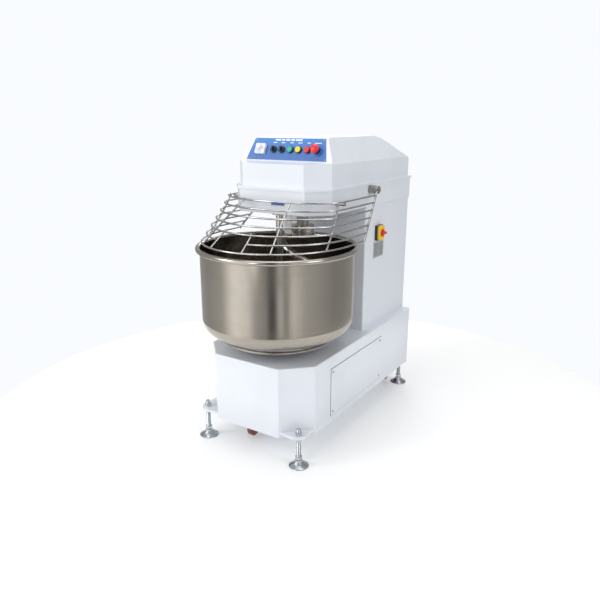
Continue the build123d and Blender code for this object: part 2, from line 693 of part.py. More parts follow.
def motor(prefix, x, y, body_r, body_low, body_high, shaft_r, pulley_r, pulley_low):
    """A vertical motor, and its shaft with the pulley keyed on."""
    below = pulley_low < body_low
    shaft_from = pulley_low - 6 if below else body_low + 20
    shaft_to = body_high - 20 if below else pulley_low + PULLEY_H + 6
    with BuildPart() as body:
        with BuildSketch(Plane.XY.offset(body_low)):
            with Locations((x, y)):
                Circle(body_r - 6)
        extrude(amount=body_high - body_low)
        with BuildSketch(Plane.XY.offset(body_low + 15)):
            with Locations((x, y)):
                with PolarLocations(body_r - 5, 24):
                    Rectangle(10, 4)
        extrude(amount=body_high - body_low - 30)
        with Locations((x, y, (shaft_from + shaft_to) / 2)):
            Cylinder(shaft_r + RUN_FIT, shaft_to - shaft_from + 2, mode=Mode.SUBTRACT)
    save(body, f"{prefix}_motor")
    with BuildPart() as rotor:
        with Locations((x, y, shaft_from)):
            Cylinder(shaft_r, shaft_to - shaft_from, align=(Align.CENTER, Align.CENTER, Align.MIN))
        with Locations((x, y, pulley_low)):
            Cylinder(pulley_r, PULLEY_H, align=(Align.CENTER, Align.CENTER, Align.MIN))
    save(rotor, f"{prefix}_motor_pulley")


def belt(name, x, large_y, large_r, small_y, small_r, low):
    """A flat belt loop round two pulleys that lie along Y."""
    with BuildPart() as loop:
        with BuildSketch(Plane.XY.offset(low + 2)):
            with Locations((x, large_y)):
                Circle(large_r + GAP + BELT_THICK)
            with Locations((x, small_y)):
                Circle(small_r + GAP + BELT_THICK)
            make_hull()
        extrude(amount=PULLEY_H - 4)
        with BuildSketch(Plane.XY.offset(low + 2)):
            with Locations((x, large_y)):
                Circle(large_r + GAP)
            with Locations((x, small_y)):
                Circle(small_r + GAP)
            make_hull()
        extrude(amount=PULLEY_H - 4, mode=Mode.SUBTRACT)
    save(loop, name)


motor("bowl", 0, BOWL_MOTOR_Y, BOWL_MOTOR_R, BASE_TOP - SHEET - BOWL_MOTOR_H, BASE_TOP - SHEET,
      BOWL_MOTOR_SHAFT_R, BOWL_MOTOR_PULLEY_R, BOWL_BELT_Z)
belt("bowl_belt", 0, BOWL_Y, BOWL_PULLEY_R, BOWL_MOTOR_Y, BOWL_MOTOR_PULLEY_R, BOWL_BELT_Z)

# ---- spiral hook and its drive ----
hook_foot = HOOK_TOP_ANGLE + 360 * HOOK_TURNS
with BuildPart() as spiral_hook:
    with BuildLine(Plane(origin=(SPIRAL_X, SPIRAL_Y, HOOK_LOW))) as hook_line:
        Helix(pitch=(HOOK_HIGH - HOOK_LOW) / HOOK_TURNS, height=HOOK_HIGH - HOOK_LOW, radius=HOOK_R, lefthand=True)
    hook_path = hook_line.line.rotate(Axis((SPIRAL_X, SPIRAL_Y, 0), (0, 0, 1)), hook_foot)
    with BuildSketch(Plane(origin=hook_path @ 0, z_dir=hook_path % 0)):
        Circle(HOOK_ROD_R)
    sweep(path=hook_path, is_frenet=True)
    with Locations(hook_path @ 0, hook_path @ 1):
        Sphere(HOOK_ROD_R)
    arm_end = hook_path @ 1
    arm_start = Vector(SPIRAL_X, SPIRAL_Y, (HUB_LOW + HUB_HIGH) / 2)
    with BuildSketch(Plane(origin=arm_end, z_dir=arm_start - arm_end)):
        Circle(HOOK_ROD_R)
    extrude(amount=(arm_start - arm_end).length)
    with Locations((SPIRAL_X, SPIRAL_Y, HUB_LOW)):
        Cylinder(HUB_R, HUB_HIGH - HUB_LOW, align=(Align.CENTER, Align.CENTER, Align.MIN))
save(spiral_hook, "spiral_hook")

with BuildPart() as spindle:
    with Locations((SPIRAL_X, SPIRAL_Y, HUB_HIGH)):
        Cylinder(SPINDLE_R, SPIRAL_BELT_Z + PULLEY_H + 10 - HUB_HIGH, align=(Align.CENTER, Align.CENTER, Align.MIN))
save(spindle, "spindle")
ring("spiral_pulley", SPIRAL_X, SPIRAL_Y, [SPIRAL_BELT_Z], PULLEY_H, SPIRAL_PULLEY_R, SPINDLE_R)
motor("spiral", SPIRAL_X, SPIRAL_MOTOR_Y, SPIRAL_MOTOR_R, HEAD_BOTTOM - 4 - SPIRAL_MOTOR_H, HEAD_BOTTOM - 4,
      SPIRAL_MOTOR_SHAFT_R, SPIRAL_MOTOR_PULLEY_R, SPIRAL_BELT_Z)
belt("spiral_belt", SPIRAL_X, SPIRAL_Y, SPIRAL_PULLEY_R, SPIRAL_MOTOR_Y, SPIRAL_MOTOR_PULLEY_R, SPIRAL_BELT_Z)

with BuildPart() as breaker_bar:
    with Locations((0, BAR_Y, BAR_LOW)):
        Cylinder(BAR_R, HEAD_BOTTOM - 10 - BAR_LOW, align=(Align.CENTER, Align.CENTER, Align.MIN))
    with Locations((0, BAR_Y, HEAD_BOTTOM - 10)):
        Cylinder(32, 10, align=(Align.CENTER, Align.CENTER, Align.MIN))
    fillet(breaker_bar.faces().sort_by(Axis.Z)[0].edges(), 6)
save(breaker_bar, "breaker_bar")

with BuildPart() as bar_stay:
    with Locations((0, BAR_Y + 72, HEAD_BOTTOM - 109)):
        Box(38, 6, 109, align=(Align.CENTER, Align.CENTER, Align.MIN))
    fillet(bar_stay.edges().filter_by(Axis.Y).group_by(Axis.Z)[0], 6)
save(bar_stay, "bar_stay")

# ---- wire guard ----
guard_top = GUARD_LOW + GUARD_PITCH * (GUARD_LEVELS - 1)


def level_values(level):
    """Height, half width, front, bend line and end line of one guard hoop."""
    z = GUARD_LOW + GUARD_PITCH * level
    share = level / (GUARD_LEVELS - 1)
    rise = (z - GUARD_LOW) / (PIVOT_Z - GUARD_LOW)
    half = GUARD_RING_HALF + (PIVOT_X - GUARD_RING_HALF) * rise
    front = GUARD_RING_FRONT + (GUARD_TOP_FRONT - GUARD_RING_FRONT) * share
    bend = GUARD_RING_BEND + (GUARD_TOP_BEND - GUARD_RING_BEND) * share
    end = GUARD_RING_END + (PIVOT_Y - GUARD_RING_END) * rise
    return z, half, front, bend, end


def guard_point(level, angle, inward=0):
    """A point of the front bow, counted in degrees from the middle, moved in by a distance."""
    z, half, front, bend, _ = level_values(level)
    reach = bend - front - inward
    return ((half - inward) * sin(radians(angle)), bend - reach * cos(radians(angle)), z)


GAP_FROM = -22            # the second wire leaves a feed opening between these two ribs
GAP_TO = 9


def wire_run(level, side, arc):
    """A round wire from the side rod along the straight run and round part of the front bow."""
    z, half, front, bend, end = level_values(level)
    start_angle = 180 if side < 0 else 360
    with BuildPart() as wire:
        with BuildLine(Plane.XY.offset(z)) as run:
            Line((side * half, end), (side * half, bend))
            EllipticalCenterArc((0, bend), half, bend - front, start_angle, arc_size=arc)
            if abs(arc) == 180:
                Line((-side * half, bend), (-side * half, end))
        with BuildSketch(Plane(origin=(side * half, end, z), z_dir=(0, -1, 0))):
            Circle(WIRE_R)
        sweep(path=run.line)
    return wire


save(wire_run(0, -1, 180), "guard_ring")
save(wire_run(GUARD_LEVELS - 1, -1, 180), "guard_top_hoop")

middle_wires = [wire_run(1, -1, 90 + GAP_FROM), wire_run(1, 1, GAP_TO - 90)]
middle_wires += [wire_run(level, -1, 180) for level in range(2, GUARD_LEVELS - 1)]
with BuildPart() as guard_hoops:
    for wire in middle_wires:
        add(wire.part)
save(guard_hoops, "guard_hoops")

# each rib: its angle on the ring, its angle at its top, and the level that it reaches
RIBS = (
    (-68, -80, GUARD_LEVELS - 1), (-40, -25, GUARD_LEVELS - 1), (GAP_FROM, GAP_FROM + 2, 2), (GAP_TO, GAP_TO - 1, 2),
    (29, 24, GUARD_LEVELS - 1), (68, 80, GUARD_LEVELS - 1),
)
rib_inset = 2 * WIRE_R - WELD
with BuildPart() as guard_ribs:
    for low_angle, high_angle, top_level in RIBS:
        turn = (high_angle - low_angle) / top_level
        knots = [Vector(*guard_point(level, low_angle + turn * level, rib_inset)) for level in range(top_level + 1)]
        for knot, next_knot in zip(knots, knots[1:]):
            with BuildSketch(Plane(origin=knot, z_dir=next_knot - knot)):
                Circle(WIRE_R)
            extrude(amount=(next_knot - knot).length)
        with Locations(*knots[1:-1]):
            Sphere(WIRE_R)
save(guard_ribs, "guard_ribs")

with BuildPart() as guard_side_rods:
    for side in (-1, 1):
        low_end = Vector(side * GUARD_RING_HALF, GUARD_RING_END, GUARD_LOW)
        high_end = Vector(side * PIVOT_X, PIVOT_Y, PIVOT_Z)
        direction = (high_end - low_end).normalized()
        with BuildSketch(Plane(origin=low_end - direction * WIRE_R, z_dir=direction)):
            Circle(SIDE_ROD_R)
        extrude(amount=(high_end - low_end).length + WIRE_R - PIVOT_HUB_R + 3)
save(guard_side_rods, "guard_side_rods")

hub_in = PIVOT_X - 10
top_half = level_values(GUARD_LEVELS - 1)[1]
with BuildPart() as guard_hubs:
    for side in (-1, 1):
        with BuildSketch(Plane(origin=(side * (hub_in + GAP), PIVOT_Y, PIVOT_Z), z_dir=(side, 0, 0))):
            Circle(PIVOT_HUB_R)
            Circle(PIVOT_PIN_R + RUN_FIT, mode=Mode.SUBTRACT)
        extrude(amount=18)
save(guard_hubs, "guard_hubs")

with BuildPart() as guard_pivots:
    for side in (-1, 1):
        with BuildSketch(Plane(origin=(side * HEAD_HALF, PIVOT_Y, PIVOT_Z), z_dir=(side, 0, 0))):
            Circle(PIVOT_HUB_R + 2)
        extrude(amount=hub_in - HEAD_HALF)
        with BuildSketch(Plane(origin=(side * hub_in, PIVOT_Y, PIVOT_Z), z_dir=(side, 0, 0))):
            Circle(PIVOT_PIN_R)
        extrude(amount=18 + 2 * GAP)
        with BuildSketch(Plane(origin=(side * (hub_in + 18 + 2 * GAP), PIVOT_Y, PIVOT_Z), z_dir=(side, 0, 0))):
            Circle(PIVOT_PIN_R + 4)
        extrude(amount=4)
    for side in (-1, 1):
        rest_plane = Plane(origin=(side * HEAD_HALF, REST_Y, guard_top - WIRE_R - REST_R - GAP), z_dir=(side, 0, 0))
        with BuildSketch(rest_plane):
            Circle(REST_R)
        extrude(amount=top_half - HEAD_HALF + 1)
save(guard_pivots, "guard_pivots")
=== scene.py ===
# %% [markdown]
# A floor-standing spiral dough mixer. The imported model already has every casting, casing and shaft in its
# true place. This lesson adds what a maker sees on the real machine: the powder coat, the spun bowl, the welds
# of the wire guard, the printed control film and the turned feet. First the model is loaded.

# %% Load the frame
import json
import math

import bmesh
import bpy
from mathutils import Matrix, Vector
from mathutils.bvhtree import BVHTree


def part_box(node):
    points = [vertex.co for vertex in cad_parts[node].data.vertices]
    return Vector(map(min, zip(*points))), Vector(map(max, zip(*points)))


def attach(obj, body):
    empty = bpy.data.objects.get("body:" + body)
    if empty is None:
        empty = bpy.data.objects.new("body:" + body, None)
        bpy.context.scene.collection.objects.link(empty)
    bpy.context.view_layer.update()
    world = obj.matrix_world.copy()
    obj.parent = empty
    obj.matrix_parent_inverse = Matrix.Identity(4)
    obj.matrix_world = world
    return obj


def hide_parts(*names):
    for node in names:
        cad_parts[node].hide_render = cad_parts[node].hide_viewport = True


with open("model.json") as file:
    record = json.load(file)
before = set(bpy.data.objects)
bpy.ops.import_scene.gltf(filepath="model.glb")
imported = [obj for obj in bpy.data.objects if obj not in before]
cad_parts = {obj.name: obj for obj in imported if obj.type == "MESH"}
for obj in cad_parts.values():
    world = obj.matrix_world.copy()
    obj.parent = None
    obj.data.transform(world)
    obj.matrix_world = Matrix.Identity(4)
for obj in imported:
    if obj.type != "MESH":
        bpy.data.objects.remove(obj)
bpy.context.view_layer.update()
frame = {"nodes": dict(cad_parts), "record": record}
nodes = frame["nodes"]

# %% [markdown]
# The camera stands to the right of the bowl, a little above it, and looks down at the machine. It could be
# aimed with a Track To constraint, but two plain angles say the same thing and can be read. The Standard view
# keeps the white coat white, where a film-like view would grey it.

# %% Camera
AZIMUTH = 32.8
PITCH = 16.48
camera_data = bpy.data.cameras.new("camera")
camera_data.lens = 35.78
camera_data.sensor_width = 36
bpy.context.scene.view_settings.view_transform = "Standard"
camera = bpy.data.objects.new("camera", camera_data)
bpy.context.collection.objects.link(camera)
camera.location = (1.528, -2.446, 1.457)
camera.rotation_euler = (math.radians(90 - PITCH), 0, math.radians(AZIMUTH))
bpy.context.scene.camera = camera
print("camera at", tuple(round(v, 3) for v in camera.location))

# %% [markdown]
# A plain pale floor and large soft lights. Polished steel shows mostly what stands round it, so the room is a
# ring of light and dark walls: that gives the bowl its upright bands. The floor is a small round sheet, since
# a wide one would fill the bowl's whole side with its own even tone, and it glows a little like a light table.

# %% Floor and lights
def clear_selection():
    if bpy.context.mode != "OBJECT":
        bpy.ops.object.mode_set(mode="OBJECT")
    bpy.ops.object.select_all(action="DESELECT")


clear_selection()
bpy.ops.mesh.primitive_circle_add(radius=1.7, vertices=96, fill_type="NGON", location=(0, 0, 0))
floor = bpy.context.object
floor.name = "studio_floor"

world = bpy.data.worlds.new("studio")
bpy.context.scene.world = world
world.use_nodes = True
sky = world.node_tree
backdrop = sky.nodes["Background"]
backdrop.inputs["Color"].default_value = (0.95, 0.97, 1.0, 1)
backdrop.inputs["Strength"].default_value = 1.0
room = sky.nodes.new("ShaderNodeBackground")
room.inputs["Strength"].default_value = 1.5
around = sky.nodes.new("ShaderNodeTexCoord")
bands = sky.nodes.new("ShaderNodeTexGradient")
bands.gradient_type = "RADIAL"
walls = sky.nodes.new("ShaderNodeValToRGB")
WALLS = [
    (0.0, 0.3), (0.1, 0.42), (0.16, 1.0), (0.225, 0.85), (0.25, 0.4), (0.3, 0.3), (0.315, 0.06), (0.335, 0.08),
    (0.355, 0.62), (0.38, 0.2), (0.405, 0.7), (0.46, 0.42), (0.6, 0.25), (0.85, 0.3), (1.0, 0.3),
]
for place, grey in WALLS[1:-1]:
    walls.color_ramp.elements.new(place)
for element, (place, grey) in zip(walls.color_ramp.elements, WALLS):
    element.position = place
    element.color = (grey, grey * 0.985, grey * 0.96, 1)
rays = sky.nodes.new("ShaderNodeLightPath")
choice = sky.nodes.new("ShaderNodeMixShader")
sky.links.new(around.outputs["Generated"], bands.inputs["Vector"])
sky.links.new(bands.outputs["Fac"], walls.inputs["Fac"])
sky.links.new(walls.outputs["Color"], room.inputs["Color"])
sky.links.new(rays.outputs["Is Camera Ray"], choice.inputs["Fac"])
sky.links.new(room.outputs["Background"], choice.inputs[1])
sky.links.new(backdrop.outputs["Background"], choice.inputs[2])
sky.links.new(choice.outputs["Shader"], sky.nodes["World Output"].inputs["Surface"])


def soft_panel(name, place, target, width, height, power, tint=(1, 1, 1)):
    """An area light at a place, turned to face a target."""
    data = bpy.data.lights.new(name, "AREA")
    data.shape = "RECTANGLE"
    data.size = width
    data.size_y = height
    data.energy = power
    data.color = tint
    lamp = bpy.data.objects.new(name, data)
    bpy.context.collection.objects.link(lamp)
    lamp.location = place
    lamp.rotation_euler = (Vector(target) - Vector(place)).to_track_quat("-Z", "Y").to_euler()
    return lamp


middle = (0, -0.1, 0.75)
soft_panel("key_left", (-2.6, -3.2, 2.6), middle, 1.2, 2.2, 52)
soft_panel("front_strip", (0.2, -3.8, 1.5), middle, 0.5, 2.6, 14)
soft_panel("fill_right", (3.8, -0.6, 2.2), middle, 1.4, 2.4, 36, (0.94, 0.97, 1))
soft_panel("top", (0, 0.2, 3.8), middle, 2.6, 2.6, 42)
soft_panel("back", (-1.5, 3.2, 2.6), middle, 2.0, 1.6, 30)
print("lights: 5")

# %% [markdown]
# Finishes are written as small sums. A class wraps one output of a node and lets it be added, multiplied or
# raised like a number; each sign adds a Math node. Any other node comes from one method, which takes the
# node's type, its settings, and the values or links of its sockets.

# %% A class for shader sums
class Value:
    """One output of a node, which can be used in sums."""

    def __init__(self, finish, socket):
        self.finish = finish
        self.socket = socket

    def sum(self, operation, first, second=0.0):
        return self.finish.node("ShaderNodeMath", {"operation": operation}, {0: first, 1: second})

    def __add__(self, other):
        return self.sum("ADD", self, other)

    __radd__ = __add__

    def __sub__(self, other):
        return self.sum("SUBTRACT", self, other)

    def __rsub__(self, other):
        return self.sum("SUBTRACT", other, self)

    def __mul__(self, other):
        return self.sum("MULTIPLY", self, other)

    __rmul__ = __mul__

    def sine(self):
        return self.sum("SINE", self)


class Finish:
    """A material whose shader is filled in by the lines that follow it."""

    def __init__(self, name, metallic=0.0, ior=1.5, coat=0.0):
        self.material = bpy.data.materials.new(name)
        self.material.use_nodes = True
        self.tree = self.material.node_tree
        self.shader = self.tree.nodes["Principled BSDF"]
        self.shader.inputs["Metallic"].default_value = metallic
        self.shader.inputs["IOR"].default_value = ior
        self.shader.inputs["Coat Weight"].default_value = coat
        self.shader.inputs["Coat Roughness"].default_value = 0.12
        place = self.tree.nodes.new("ShaderNodeTexCoord")
        self.place = Value(self, place.outputs["Object"])
        split = self.node("ShaderNodeSeparateXYZ", {}, {0: self.place}, output=None)
        self.x, self.y, self.z = (Value(self, socket) for socket in split.outputs)

    def node(self, kind, settings, inputs, output=0):
        """Add a node; its settings come first, then each socket gets a value or a link."""
        made = self.tree.nodes.new(kind)
        for key, setting in settings.items():
            setattr(made, key, setting)
        for key, value in inputs.items():
            if isinstance(value, Value):
                self.tree.links.new(value.socket, made.inputs[key])
            else:
                made.inputs[key].default_value = value
        return made if output is None else Value(self, made.outputs[output])

    def stretched(self, scale):
        return self.node("ShaderNodeMapping", {}, {"Vector": self.place, "Scale": scale})

    def noise(self, scale, detail=4.0, stretch=None):
        where = self.stretched(stretch) if stretch else self.place
        return self.node("ShaderNodeTexNoise", {}, {"Vector": where, "Scale": scale, "Detail": detail})

    def ramp(self, value, low, high):
        """Zero below low, one above high, smooth between."""
        settings = {"interpolation_type": "SMOOTHSTEP"}
        inputs = {0: value, 1: low, 2: high, 3: 0.0, 4: 1.0}
        return self.node("ShaderNodeMapRange", settings, inputs)

    def mix(self, amount, first, second):
        """Mix two colours, each a Value or an (r, g, b)."""
        inputs = {0: amount}
        for key, colour in ((6, first), (7, second)):
            inputs[key] = colour if isinstance(colour, Value) else (*colour, 1)
        return self.node("ShaderNodeMix", {"data_type": "RGBA"}, inputs, output=2)

    def edges(self, radius=0.004):
        """A mask of sharp edges: where a rounded normal differs from the true one."""
        rounded = self.node("ShaderNodeBevel", {"samples": 4}, {"Radius": radius})
        true = self.node("ShaderNodeNewGeometry", {}, {}, output="Normal")
        settings = {"operation": "DOT_PRODUCT"}
        dot = self.node("ShaderNodeVectorMath", settings, {0: rounded, 1: true}, output="Value")
        return self.ramp(1 - dot, 0.02, 0.22)

    def finish(self, colour, roughness, bump=None, strength=0.2, distance=0.001):
        for key, value in (("Base Color", colour), ("Roughness", roughness)):
            if isinstance(value, Value):
                self.tree.links.new(value.socket, self.shader.inputs[key])
            elif key == "Base Color":
                self.shader.inputs[key].default_value = (*value, 1)
            else:
                self.shader.inputs[key].default_value = value
        if bump is not None:
            inputs = {"Height": bump, "Strength": strength, "Distance": distance}
            made = self.node("ShaderNodeBump", {}, inputs)
            self.tree.links.new(made.socket, self.shader.inputs["Normal"])
        return self.material

# %% [markdown]
# The casings wear a cool white powder coat. It has a fine orange-peel skin, faint flour smears that dull the
# gloss, and a slightly greyer tone towards the floor. Its sharp edges carry a painted highlight, a lighter
# white where rounded edges would catch the light. A flat white would look like paper, so the colour and the
# gloss both vary a little, at the size of a hand and at the size of a grain.

# %% Powder coat
def powder_coat():
    coat = Finish("powder_coat", coat=0.25)
    smear = coat.ramp(coat.noise(5.0, 5.0, (1, 1, 0.45)), 0.46, 0.72)
    # greyer towards the floor: the lower casing is mixed toward a darker grey
    low = 1 - coat.ramp(coat.z, 0.12, 0.3)
    specks = coat.ramp(coat.noise(160.0, 2.0), 0.7, 0.78)
    tone = coat.mix(smear * 0.5, (0.77, 0.81, 0.88), (0.71, 0.75, 0.82))
    tone = coat.mix(low * 0.35, tone, (0.58, 0.6, 0.63))
    tone = coat.mix(specks * 0.12, tone, (0.45, 0.45, 0.46))
    # painted highlight: sharp edges are mixed toward a lighter white, as rounded edges would catch the light
    tone = coat.mix(coat.edges(0.0025) * 0.35, tone, (0.9, 0.92, 0.95))
    peel = coat.noise(420.0, 2.0)
    return coat.finish(tone, 0.33 + smear * 0.14, peel, 0.06, 0.0008)


white_coat = powder_coat()

# %% [markdown]
# The bowl is spun from stainless sheet, so its fine marks run round it. Noise squeezed along the height gives
# rings that close on themselves without a seam, and a few broad smears follow the dough's path. Its warm
# brown-grey colour is a painted reflection. It is also painted darker and browner towards its foot, inside and
# out, as painted shade and reflection.

# %% Spun and brushed steels
def spun_steel():
    steel = Finish("spun_steel", metallic=1.0)
    rings = steel.noise(3.0, 6.0, (1, 1, 160))
    fine = steel.noise(5.0, 3.0, (1, 1, 700))
    smear = steel.ramp(steel.noise(4.5, 5.0), 0.42, 0.7)
    # painted shade and reflection: darker and browner towards the bowl's foot
    low = 1 - steel.ramp(steel.z, 0.53, 0.68)
    # painted reflection: the warm brown cast of both greys
    tone = steel.mix(smear * 0.4, (0.43, 0.4, 0.36), (0.32, 0.29, 0.25))
    tone = steel.mix(low * 0.35, tone, (0.33, 0.275, 0.21))
    tone = steel.mix(steel.ramp(rings, 0.35, 0.65) * 0.22, tone, (0.5, 0.47, 0.43))
    return steel.finish(tone, 0.13 + smear * 0.07 + rings * 0.05, rings + fine * 0.5, 0.06, 0.0005)


def brushed_steel(name, light, dark, rough, along=(220, 220, 4), scratch=0.14):
    steel = Finish(name, metallic=1.0)
    grain = steel.noise(3.0, 4.0, along)
    stain = steel.ramp(steel.noise(22.0, 4.0), 0.45, 0.7)
    tone = steel.mix(stain * 0.6, light, dark)
    # painted highlight: sharp edges are mixed toward a lighter steel, a painted glint on rounded edges
    tone = steel.mix(steel.edges(0.002) * 0.5, tone, tuple(min(1.0, c * 1.35) for c in light))
    return steel.finish(tone, rough + grain * 0.14 + stain * 0.1, grain, scratch, 0.0004)


bowl_steel = spun_steel()
wire_steel = brushed_steel("wire_steel", (0.52, 0.52, 0.53), (0.3, 0.29, 0.28), 0.12, (60, 60, 60), 0.06)
hook_steel = brushed_steel("hook_steel", (0.56, 0.53, 0.49), (0.34, 0.29, 0.24), 0.18)
turned_steel = brushed_steel("turned_steel", (0.36, 0.34, 0.32), (0.2, 0.18, 0.16), 0.24, (8, 8, 300))
zinc_plate = brushed_steel("zinc_plate", (0.5, 0.53, 0.57), (0.3, 0.32, 0.35), 0.16, (8, 8, 260))
screw_steel = brushed_steel("screw_steel", (0.4, 0.41, 0.43), (0.24, 0.24, 0.25), 0.3, (90, 90, 90))
satin_plate = brushed_steel("satin_plate", (0.72, 0.74, 0.77), (0.62, 0.64, 0.67), 0.32, (4, 4, 260), 0.08)

# %% [markdown]
# Castings are painted over a sand-rough skin. Mouldings are smooth plastic with a faint grain and handling
# marks. Both are the same sum with other numbers, so one function each is enough.

# %% Castings, mouldings and rubbers
def painted(name, colour, rough=0.45, grain=300.0, strength=0.12, edge_grey=(0.3, 0.3, 0.3)):
    paint = Finish(name)
    blotch = paint.ramp(paint.noise(14.0, 5.0), 0.4, 0.7)
    tone = paint.mix(blotch * 0.5, colour, tuple(c * 0.7 for c in colour))
    # sharp edges are mixed toward a lighter grey
    tone = paint.mix(paint.edges(0.002) * 0.6, tone, edge_grey)
    return paint.finish(tone, rough + blotch * 0.12, paint.noise(grain, 3.0), strength, 0.0006)


def moulded(name, colour, rough=0.24, coat=0.3):
    plastic = Finish(name, coat=coat)
    handling = plastic.ramp(plastic.noise(60.0, 4.0), 0.45, 0.68)
    tone = plastic.mix(handling * 0.35, colour, tuple(c * 0.78 for c in colour))
    # painted highlight: sharp edges are mixed toward a lighter tone, as rounded edges would catch the light
    tone = plastic.mix(plastic.edges(0.0012) * 0.3, tone, tuple(min(1.0, c * 1.2 + 0.05) for c in colour))
    return plastic.finish(tone, rough + handling * 0.16, plastic.noise(700.0, 2.0), 0.05, 0.0003)


def rubber(name, colour):
    tyre = Finish(name)
    dust = tyre.ramp(tyre.noise(40.0, 5.0), 0.45, 0.7)
    tone = tyre.mix(dust * 0.45, colour, (0.32, 0.27, 0.24))
    return tyre.finish(tone, 0.55 + dust * 0.25, tyre.noise(260.0, 4.0), 0.3, 0.0006)


casting_paint = painted("casting_paint", (0.12, 0.15, 0.2), strength=0.3)
black_paint = painted("black_paint", (0.025, 0.025, 0.03))
belt_rubber = rubber("belt_rubber", (0.03, 0.03, 0.03))
castor_rubber = rubber("castor_rubber", (0.2, 0.05, 0.035))
white_moulding = moulded("white_moulding", (0.74, 0.76, 0.82))
black_moulding = moulded("black_moulding", (0.014, 0.018, 0.035), 0.3)
green_moulding = moulded("green_moulding", (0.01, 0.4, 0.3))
yellow_moulding = moulded("yellow_moulding", (0.9, 0.62, 0.02))
red_moulding = moulded("red_moulding", (0.75, 0.012, 0.02))
white_ink = moulded("white_ink", (0.82, 0.86, 0.92), 0.4, 0.0)
grey_ink = moulded("grey_ink", (0.13, 0.14, 0.17), 0.45, 0.0)

# %% [markdown]
# The control plate is a blue printed film under a clear skin. The print is never quite even: it has a fine dot
# screen. The film is also painted a little lighter toward the top, a painted highlight where light falls on
# it.

# %% Printed film
def blue_film():
    film = Finish("blue_film", coat=0.5)
    # painted highlight: the film is made lighter toward the top, where light falls on it
    top_highlight = film.ramp(film.z, 1.29, 1.4)
    dots = (film.x * 2600).sine() * (film.z * 2600).sine()
    wipe = film.ramp(film.noise(18.0, 4.0), 0.45, 0.7)
    tone = film.mix(top_highlight, (0.018, 0.115, 0.42), (0.045, 0.2, 0.58))
    tone = film.mix(film.ramp(dots, 0.2, 0.9) * 0.12, tone, (0.09, 0.3, 0.75))
    tone = film.mix(wipe * 0.2, tone, (0.05, 0.12, 0.3))
    return film.finish(tone, 0.26 + wipe * 0.14, film.noise(500.0, 2.0), 0.04, 0.0003)


panel_film = blue_film()

# %% [markdown]
# Each part of the model takes its finish through its own material slot. The record names a slot for every
# node, so the finishes are paired with slots once, and no node can be forgotten.

# %% Give each node its finish
FINISH_OF_SLOT = {
    "painted_white": white_coat, "bowl_steel": bowl_steel, "guard_steel": wire_steel,
    "hook_steel": hook_steel, "plain_steel": turned_steel, "zinc": zinc_plate,
    "screw_steel": screw_steel, "cast": casting_paint, "belt_rubber": belt_rubber,
    "castor_red": castor_rubber, "black_steel": black_paint, "panel_blue": panel_film,
    "timer_white": white_moulding, "knob_black": black_moulding, "green": green_moulding,
    "yellow": yellow_moulding, "red": red_moulding, "grey_plate": satin_plate,
}


def dress(piece, finish):
    piece.data.materials.clear()
    piece.data.materials.append(finish)


slot_of_node = {entry["node"]: entry["material_slot"] for entry in frame["record"]["subparts"]}
for node_name, node in nodes.items():
    dress(node, FINISH_OF_SLOT[slot_of_node[node_name]])

floor_paint = Finish("floor_paint")
floor_tone = floor_paint.mix(floor_paint.noise(2.0), (0.86, 0.87, 0.88), (0.9, 0.9, 0.9))
dress(floor, floor_paint.finish(floor_tone, 0.6, floor_paint.noise(90.0), 0.02))
floor_paint.shader.inputs["Emission Color"].default_value = (0.95, 0.97, 1, 1)
floor_paint.shader.inputs["Emission Strength"].default_value = 0.15
print("dressed:", len(nodes))

# %% [markdown]
# Some pieces are turned on a lathe: a foot's pad and screw, a mushroom button, a weld. In edit mode a disc is
# extruded upward again and again, and each new end is scaled to the next radius. That is the same movement
# as the lathe's, and a bevel is not needed because the profile already holds the roundings.

# %% A lathe made from extrude and scale
def turned(name, profile, centre, sides=40, tilt=None):
    """A closed turned piece from (radius, height) steps, standing on centre; tilt turns +Z to a direction."""
    clear_selection()
    first_radius, first_height = profile[0]
    place = Vector((0, 0, first_height))
    bpy.ops.mesh.primitive_circle_add(vertices=sides, radius=first_radius, fill_type="NGON", location=place)
    piece = bpy.context.object
    piece.name = name
    bpy.ops.object.mode_set(mode="EDIT")
    bpy.ops.mesh.select_all(action="SELECT")
    radius, height = first_radius, first_height
    for next_radius, next_height in profile[1:]:
        rise = {"value": (0, 0, next_height - height)}
        bpy.ops.mesh.extrude_region_move(TRANSFORM_OT_translate=rise)
        size = next_radius / radius
        bpy.ops.transform.resize(value=(size, size, 1), center_override=(0, 0, next_height))
        radius, height = next_radius, next_height
    bpy.ops.mesh.select_all(action="SELECT")
    bpy.ops.mesh.normals_make_consistent(inside=False)
    bpy.ops.object.mode_set(mode="OBJECT")
    piece.data.transform(piece.matrix_world)
    piece.matrix_world = Matrix.Identity(4)
    if tilt is not None:
        piece.data.transform(Vector(tilt).to_track_quat("Z", "Y").to_matrix().to_4x4())
    piece.data.transform(Matrix.Translation(centre))
    bpy.ops.object.shade_smooth_by_angle(angle=math.radians(35))
    return piece


def joined(name, parts):
    """Join pieces into one object that stays at the origin."""
    clear_selection()
    for part in parts:
        part.select_set(True)
    bpy.context.view_layer.objects.active = parts[0]
    if len(parts) > 1:
        bpy.ops.object.join()
    whole = bpy.context.object
    whole.name = name
    return whole


def settle(piece, body, finish, slot, *replaced):
    """Give a piece its finish, the body it rides on, and the nodes it stands in for. The slot argument is not
    used.
    """
    dress(piece, finish)
    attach(piece, body)
    if replaced:
        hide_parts(*replaced)
    print(piece.name, "rides on", body, "with", len(piece.data.polygons), "faces")


